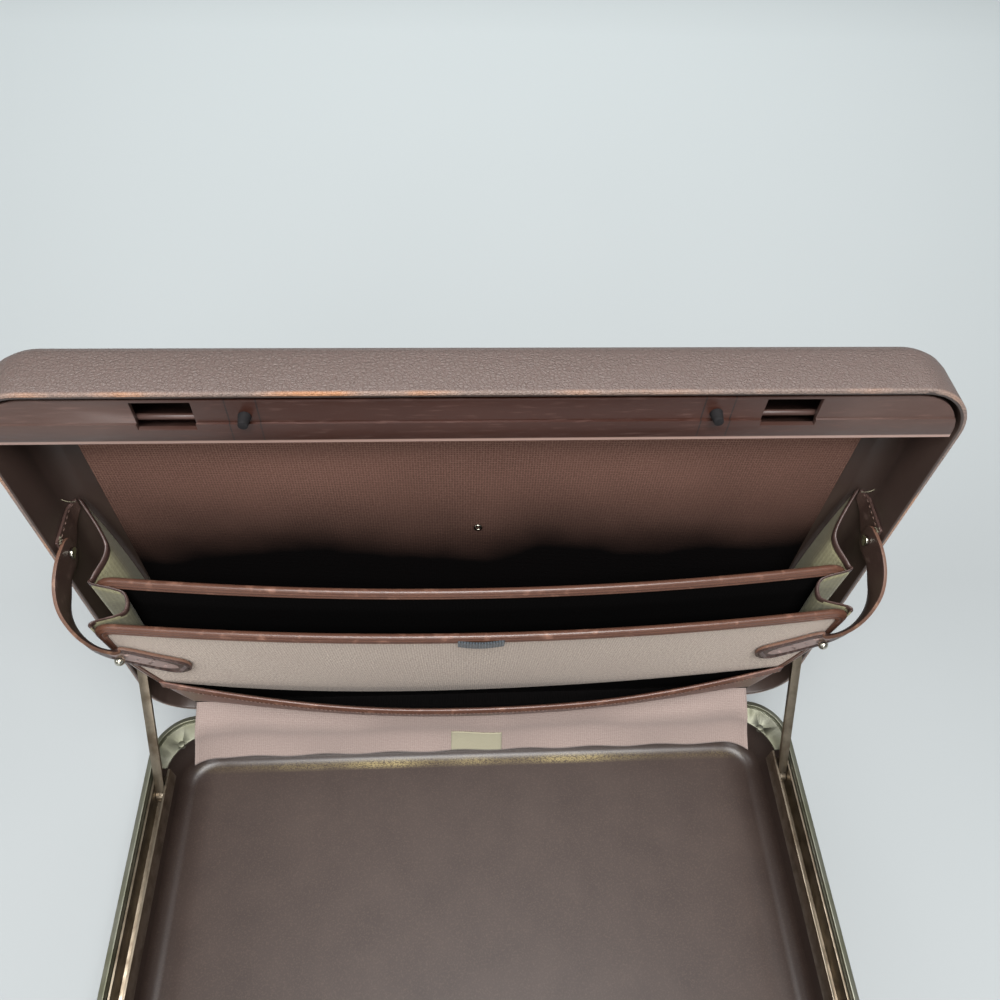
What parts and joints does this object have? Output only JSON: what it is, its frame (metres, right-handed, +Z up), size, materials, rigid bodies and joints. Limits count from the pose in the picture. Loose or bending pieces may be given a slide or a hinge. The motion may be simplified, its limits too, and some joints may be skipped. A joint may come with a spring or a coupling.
{
  "type": "attache case",
  "caption": "Hard attaché case lying open, with a folding file organiser in its lid, combination locks and a carrying handle.",
  "frame": {"origin": "centre of the flat underside that the base rests on", "axes": "+X across the case towards its right side, -Y towards the front with the handle, +Z up"},
  "size_m": [0.457, 0.3792, 0.391],
  "materials": {
    "shell_plastic": "grained",
    "trim_plastic": "smooth",
    "rail_metal": "satin",
    "hinge_steel": "satin",
    "lock_brass": "satin nickel",
    "dial_plastic": "smooth",
    "stay_metal": "satin",
    "black_rubber": "matte",
    "handle_leather": "padded vinyl",
    "lining_twill": "twill",
    "organiser_cloth": "fine weave",
    "binding_vinyl": "embossed vinyl",
    "gusset_cloth": "plain weave",
    "strap_vinyl": "embossed vinyl",
    "stud_nickel": "polished nickel",
    "elastic": "ribbed",
    "label_cloth": "woven"
  },
  "bodies": {
    "base": {"base_shell": "shell_plastic", "base_rail": "rail_metal", "lock_cover": "trim_plastic", "hinge_base_leaves": "hinge_steel", "hinge_pins": "hinge_steel", "lock_plate_left": "lock_brass", "lock_plate_right": "lock_brass", "lock_case_left": "hinge_steel", "lock_case_right": "hinge_steel", "latch_pins": "hinge_steel", "latch_springs": "hinge_steel", "dial_axles": "hinge_steel", "handle_bracket_left": "lock_brass", "handle_bracket_right": "lock_brass", "handle_pins": "hinge_steel", "stay_guide_left": "stay_metal", "stay_guide_right": "stay_metal", "rail_rivets": "rail_metal", "base_feet": "black_rubber", "hinge_cloth": "organiser_cloth", "label_patch": "label_cloth"},
    "lid": {"lid_shell": "shell_plastic", "lid_front_strip": "trim_plastic", "catch_bars": "hinge_steel", "lid_bumpers": "black_rubber", "lid_lining": "lining_twill", "lining_eyelet": "stud_nickel", "hinge_lid_leaves": "hinge_steel", "stay_rivets": "hinge_steel", "anchor_tab_left": "strap_vinyl", "anchor_tab_right": "strap_vinyl", "anchor_rivets": "stud_nickel", "organiser_mount": "lining_twill", "gusset_left": "gusset_cloth", "gusset_right": "gusset_cloth", "lid_feet": "black_rubber"},
    "front_panel": {"front_panel": "organiser_cloth", "front_binding": "binding_vinyl", "front_pocket": "binding_vinyl", "elastic_tab": "elastic", "strap_left": "strap_vinyl", "strap_right": "strap_vinyl", "strap_studs": "stud_nickel"},
    "divider": {"divider_panel": "lining_twill", "divider_binding": "binding_vinyl"},
    "stay_arm_left": {"stay_arm_left": "stay_metal"},
    "stay_arm_right": {"stay_arm_right": "stay_metal"},
    "handle": {"handle_grip": "handle_leather"},
    "lock_slide_left": {"lock_slide_left": "lock_brass"},
    "lock_slide_right": {"lock_slide_right": "lock_brass"},
    "latch_hook_left": {"latch_hook_left": "hinge_steel"},
    "latch_hook_right": {"latch_hook_right": "hinge_steel"},
    "dial_left_1": {"dial_left_1": "dial_plastic"},
    "dial_left_2": {"dial_left_2": "dial_plastic"},
    "dial_left_3": {"dial_left_3": "dial_plastic"},
    "dial_right_1": {"dial_right_1": "dial_plastic"},
    "dial_right_2": {"dial_right_2": "dial_plastic"},
    "dial_right_3": {"dial_right_3": "dial_plastic"}
  },
  "joints": [
    {"name": "lid_hinge", "type": "hinge", "parent": "base", "child": "lid", "pos_m": [0, 0.159, 0.0762], "axis": [1, 0, 0], "range_deg": [0, 92], "deforming": ["hinge_cloth"]},
    {"name": "front_panel_fold", "type": "hinge", "parent": "lid", "child": "front_panel", "pos_m": [0, 0.15435, 0.10938], "axis": [1, 0, 0], "range_deg": [-14, 0], "deforming": ["gusset_left", "gusset_right", "strap_left", "strap_right"]},
    {"name": "divider_fold", "type": "hinge", "parent": "lid", "child": "divider", "pos_m": [0, 0.15435, 0.10938], "axis": [1, 0, 0], "range_deg": [-7, 0]},
    {"name": "stay_left", "type": "hinge", "parent": "lid", "child": "stay_arm_left", "pos_m": [-0.218, 0.17009, 0.15886], "axis": [1, 0, 0], "range_deg": [-137.1, 0]},
    {"name": "stay_right", "type": "hinge", "parent": "lid", "child": "stay_arm_right", "pos_m": [0.218, 0.17009, 0.15886], "axis": [1, 0, 0], "range_deg": [-137.1, 0]},
    {"name": "handle_swing", "type": "hinge", "parent": "base", "child": "handle", "pos_m": [0, -0.164, 0.057], "axis": [-1, 0, 0], "range_deg": [0, 150]},
    {"name": "slide_left", "type": "slide", "parent": "base", "child": "lock_slide_left", "axis": [-1, 0, 0], "range_m": [0, 0.007], "stiffness_N_per_m": 20},
    {"name": "slide_right", "type": "slide", "parent": "base", "child": "lock_slide_right", "axis": [1, 0, 0], "range_m": [0, 0.007], "stiffness_N_per_m": 20},
    {"name": "hook_left", "type": "hinge", "parent": "base", "child": "latch_hook_left", "pos_m": [-0.141, -0.143, 0.062], "axis": [1, 0, 0], "range_deg": [0, 9]},
    {"name": "hook_right", "type": "hinge", "parent": "base", "child": "latch_hook_right", "pos_m": [0.141, -0.143, 0.062], "axis": [1, 0, 0], "range_deg": [0, 9]},
    {"name": "dial_left_1", "type": "hinge", "parent": "base", "child": "dial_left_1", "pos_m": [-0.107, -0.1497, 0.053], "axis": [1, 0, 0], "continuous": true},
    {"name": "dial_left_2", "type": "hinge", "parent": "base", "child": "dial_left_2", "pos_m": [-0.115, -0.1497, 0.053], "axis": [1, 0, 0], "continuous": true},
    {"name": "dial_left_3", "type": "hinge", "parent": "base", "child": "dial_left_3", "pos_m": [-0.123, -0.1497, 0.053], "axis": [1, 0, 0], "continuous": true},
    {"name": "dial_right_1", "type": "hinge", "parent": "base", "child": "dial_right_1", "pos_m": [0.107, -0.1497, 0.053], "axis": [1, 0, 0], "continuous": true},
    {"name": "dial_right_2", "type": "hinge", "parent": "base", "child": "dial_right_2", "pos_m": [0.115, -0.1497, 0.053], "axis": [1, 0, 0], "continuous": true},
    {"name": "dial_right_3", "type": "hinge", "parent": "base", "child": "dial_right_3", "pos_m": [0.123, -0.1497, 0.053], "axis": [1, 0, 0], "continuous": true}
  ],
  "couplings": [
    {"joint": "divider_fold", "follows": "front_panel_fold", "ratio": 0.5},
    {"joint": "stay_left", "follows": "lid_hinge", "ratio": -1.4891},
    {"joint": "stay_right", "follows": "lid_hinge", "ratio": -1.4891},
    {"joint": "hook_left", "follows": "slide_left", "rad_per_m": 22.438},
    {"joint": "hook_right", "follows": "slide_right", "rad_per_m": 22.438}
  ]
}
